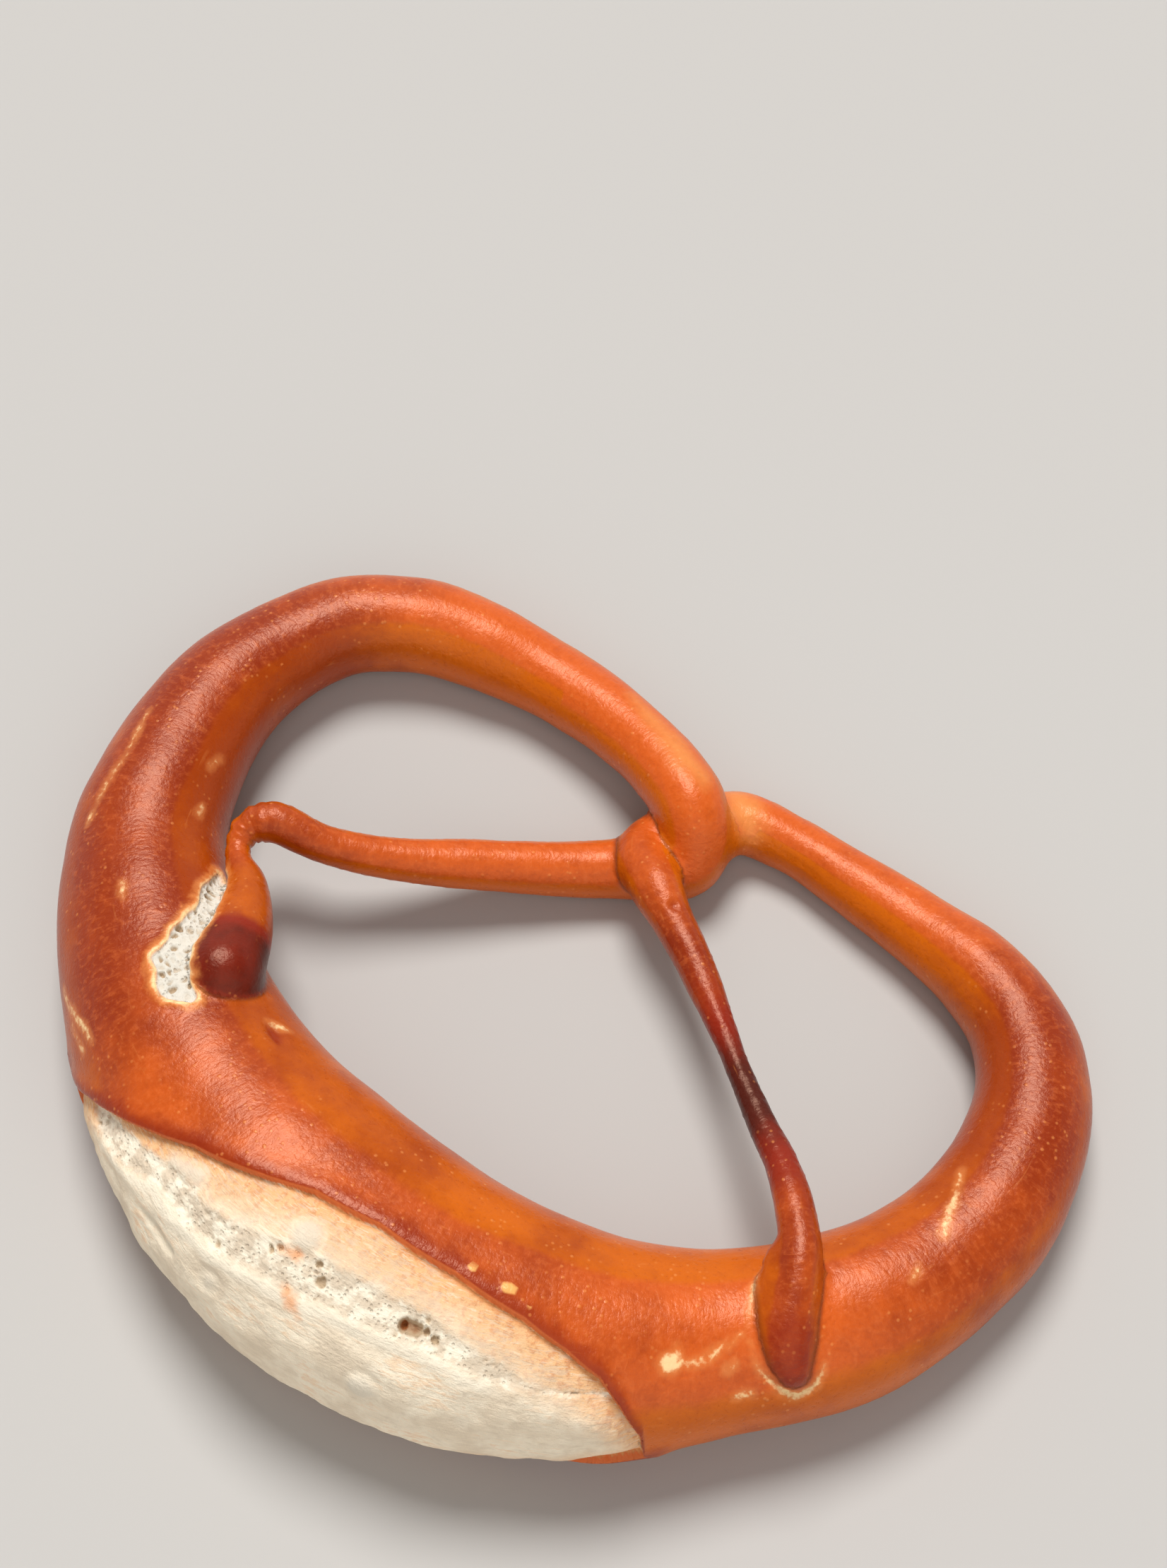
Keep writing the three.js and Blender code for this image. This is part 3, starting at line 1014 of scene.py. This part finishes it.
def crumb_group():
    """The open crumb: cream skin, toasted towards the crust, with the torn porous band and the tear."""
    marks = ["Split", "Band", "Fold", "Pore", "Tear", "Bubble", "Fleck"]
    tree, n, given, made = group("open crumb", marks, [("Color", COLOUR), ("Height", FLOAT)])
    place = given["Place"]
    soft = n.cloud(place, 120, 3, 0.6)
    mottle = n.cloud(place, 330, 3, 0.6)
    fine = n.cloud(place, 900, 4, 0.65)
    fibre = n.cloud(n.scaled(given["Rope"], 0.35, 1.6, 1.6), 1.0, 3, 0.6, 0.8)

    colour = n.mix(n.ramp(soft, 0.38, 0.62), CREAM, LIGHT_CREAM)
    peach = n.mix(n.ramp(fine, 0.45, 0.65, most=0.75), PEACH, TOASTED)
    peach = n.mix(n.ramp(fibre, 0.52, 0.7, most=0.5), peach, LIGHT_CREAM)
    toast = n.ramp(n.shaken(n.shaken(given["Split"], soft, 8.0), mottle, 4.0), 13.0, 0.5)
    colour = n.mix(n.maths("MULTIPLY", toast, 0.95), colour, peach)
    colour = n.mix(n.ramp(n.shaken(given["Split"], mottle, 1.2), 1.5, 0.2, most=0.8), colour, TOASTED)
    colour = n.mix(n.ramp(n.shaken(soft, fibre, 1.0), 0.56, 0.75, most=0.45), colour, peach)
    colour = n.mix(n.ramp(n.shaken(fibre, soft, 0.8), 0.5, 0.32, most=0.5), colour, MEMBRANE)
    colour = n.mix(n.ramp(n.shaken(given["Fold"], mottle, 0.8), 0.2, 1.0, most=0.8), colour, FOLD_WHITE)
    bubble = n.shaken(given["Bubble"], mottle, 0.5)
    # Painted highlight: a pale ring on the rims of the bubbles and the groove.
    colour = n.mix(n.ramp(bubble, -0.8, 0.0, most=0.3), colour, FOLD_WHITE)
    colour = n.mix(n.ramp(bubble, 0.0, 1.4, most=0.6), colour, BUBBLE_SKIN)

    torn = n.ramp(n.shaken(n.shaken(given["Band"], mottle, 3.0), fibre, 2.0), -1.0, 0.8)
    membrane = n.mix(n.ramp(mottle, 0.42, 0.6), MEMBRANE, WALL)
    colour = n.mix(torn, colour, membrane)
    tear = n.ramp(given["Tear"], -0.2, 0.4)
    colour = n.mix(tear, colour, TORN_WHITE)
    ripped = n.maths("MAXIMUM", torn, tear)
    # Painted shade: dark dots for pinholes in the torn crumb.
    pinholes = n.maths("MULTIPLY", n.dots(place, 1500, 0.45, 0.5), ripped)
    colour = n.mix(n.maths("MULTIPLY", pinholes, 0.2), colour, PAINTED_PORE_SHADE)
    # Painted shade: the pores and the pit are darker the deeper they are.
    colour = n.mix(n.ramp(given["Pore"], 0.12, 0.8, most=0.8), colour, PAINTED_PORE_SHADE)
    colour = n.mix(n.ramp(given["Pore"], 0.9, 1.8), colour, PAINTED_DEEP_PORE_SHADE)
    fleck = n.shaken(n.shaken(given["Fleck"], fine, 1.6), mottle, 1.6)
    colour = n.mix(n.ramp(fleck, -0.8, 0.8, most=0.8), colour, FLECK)
    n.join(colour, made["Color"])
    grain = n.maths("ADD", n.maths("MULTIPLY", fine, 0.9), n.maths("MULTIPLY", fibre, 0.5))
    n.join(n.maths("SUBTRACT", grain, n.maths("MULTIPLY", pinholes, 0.5)), made["Height"])
    return tree


CRUST_GRAIN = 0.14 * MM  # depth of the crust's wrinkles
CRUMB_GRAIN = 0.35 * MM
CRUMB_ROUGHNESS = 0.8
SHEEN = 0.54
SHEEN_TINT = (1.0, 0.62, 0.46, 1.0)  # the crust's gloss is coloured by the brown glaze under it


def dough_material():
    material = bpy.data.materials.new("baked dough")
    material.use_nodes = True
    n = Nodes(material.node_tree)
    shader = material.node_tree.nodes["Principled BSDF"]
    place = n.add("ShaderNodeTexCoord").outputs["Object"]
    read = {"Place": place, "Rope": n.vector_of("rope")}

    def filled(tree):
        node = n.add("ShaderNodeGroup", node_tree=tree)
        for socket in node.inputs:
            if socket.name not in read:
                read[socket.name] = n.value_of(socket.name.lower())
            n.join(read[socket.name], socket)
        return node.outputs

    crust, crumb = filled(crust_group()), filled(crumb_group())
    ragged = n.cloud(place, 420, 3, 0.6)
    open_split = n.ramp(n.shaken(read["Split"], ragged, 0.5), 0.1, 0.35)
    open_tear = n.ramp(n.shaken(read["Tear"], ragged, 1.4), -0.35, 0.15)
    opened = n.maths("MAXIMUM", open_split, open_tear)
    n.join(n.mix(opened, crust["Color"], crumb["Color"]), shader.inputs["Base Color"])
    n.join(n.blend(opened, crust["Roughness"], CRUMB_ROUGHNESS), shader.inputs["Roughness"])
    crust_height = n.maths("MULTIPLY", crust["Height"], CRUST_GRAIN)
    crumb_height = n.maths("MULTIPLY", crumb["Height"], CRUMB_GRAIN)
    bump = n.add("ShaderNodeBump")
    bump.inputs["Distance"].default_value = 1.0
    n.join(n.blend(opened, crust_height, crumb_height), bump.inputs["Height"])
    n.join(bump.outputs["Normal"], shader.inputs["Normal"])
    shader.inputs["Specular IOR Level"].default_value = SHEEN
    shader.inputs["Specular Tint"].default_value = SHEEN_TINT
    return material


def floor_material():
    material = bpy.data.materials.new("pale floor")
    material.use_nodes = True
    shader = material.node_tree.nodes["Principled BSDF"]
    shader.inputs["Base Color"].default_value = srgb(192, 190, 187)
    shader.inputs["Roughness"].default_value = 0.9
    shader.inputs["Specular IOR Level"].default_value = 0.1
    return material


# ---------------------------------------------------------------- floor, light and camera

FLOOR_SIZE = 80.0  # metres, so that its edge is as far off as the horizon
WALL_TOP, CEILING_EDGE = 0.24, 0.5  # sines of the elevations between which the wall fades into the ceiling
WALL_LIGHT, CEILING_LIGHT = 0.85, 0.28
CAMERA_AZIMUTH = 38.0  # degrees round from the belly's side
CAMERA_ELEVATION = 65.0
CAMERA_DISTANCE = 0.52  # metres
SENSOR = 36  # mm along the picture's long side
CAMERA_LENS = 66.1  # mm
AIM = (-0.123, 0.362)  # where it looks on the table, as shares of the box's width and depth


def box_point(across, deep, high):
    """A place in the CAD box, as shares of its width and depth from the middle and of its height."""
    low, top = (Vector(corner) for corner in cad_box)
    size, middle = top - low, (low + top) / 2
    return Vector((middle.x + across * size.x, middle.y + deep * size.y, low.z + high * size.z))


def direction(azimuth, elevation):
    """The way from the object to something seen at this azimuth and elevation, in degrees."""
    a, e = math.radians(azimuth), math.radians(elevation)
    return Vector((math.sin(a) * math.cos(e), -math.cos(a) * math.cos(e), math.sin(e)))


def add_floor():
    bpy.ops.mesh.primitive_plane_add(size=FLOOR_SIZE)
    floor = bpy.context.object
    floor.name = "floor"
    floor.location.z = Vector(cad_box[0]).z
    floor.data.materials.append(floor_material())


def add_light(name, azimuth, elevation, spread, strength, colour):
    """A distant light that fills spread degrees of the sky, so that its shadows are soft."""
    data = bpy.data.lights.new(name, "SUN")
    data.angle = math.radians(spread)
    data.energy = strength
    data.color = colour
    light = bpy.data.objects.new(name, data)
    bpy.context.collection.objects.link(light)
    light.rotation_mode = "QUATERNION"
    light.rotation_quaternion = direction(azimuth, elevation).to_track_quat("Z", "Y")


def add_lights():
    add_light("window", azimuth=222, elevation=60, spread=26, strength=3.1, colour=(1.0, 0.98, 0.96))
    add_light("room", azimuth=50, elevation=42, spread=70, strength=0.8, colour=(1.0, 0.97, 0.94))


def add_studio():
    """The light from all round: a pale wall behind the floor, under a dim ceiling."""
    world = bpy.data.worlds.new("studio")
    world.use_nodes = True
    n = Nodes(world.node_tree)
    background = world.node_tree.nodes["Background"]
    background.inputs["Color"].default_value = srgb(230, 228, 226)
    way = n.add("ShaderNodeSeparateXYZ")
    n.join(n.add("ShaderNodeTexCoord").outputs["Generated"], way.inputs[0])
    strength = n.ramp(way.outputs["Z"], WALL_TOP, CEILING_EDGE, least=WALL_LIGHT, most=CEILING_LIGHT)
    n.join(strength, background.inputs["Strength"])
    bpy.context.scene.world = world


def add_camera():
    bpy.context.scene.view_settings.view_transform = "Standard"
    data = bpy.data.cameras.new("camera")
    data.lens = CAMERA_LENS
    data.sensor_width = SENSOR
    data.clip_start, data.clip_end = 0.01, 50
    camera = bpy.data.objects.new("camera", data)
    bpy.context.collection.objects.link(camera)
    way = direction(CAMERA_AZIMUTH, CAMERA_ELEVATION)
    camera.location = box_point(*AIM, 0) + way * CAMERA_DISTANCE
    camera.rotation_mode = "QUATERNION"
    camera.rotation_quaternion = way.to_track_quat("Z", "Y")
    bpy.context.scene.camera = camera


# ---------------------------------------------------------------- putting it together


def add_pretzel():
    mesh = bake_dough()
    pretzel = bpy.data.objects.new("baked_pretzel", mesh)
    bpy.context.collection.objects.link(pretzel)
    mesh.materials.append(dough_material())
    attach(pretzel, "root")
    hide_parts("pretzel")


add_camera()
add_floor()
add_lights()
add_studio()
add_pretzel()
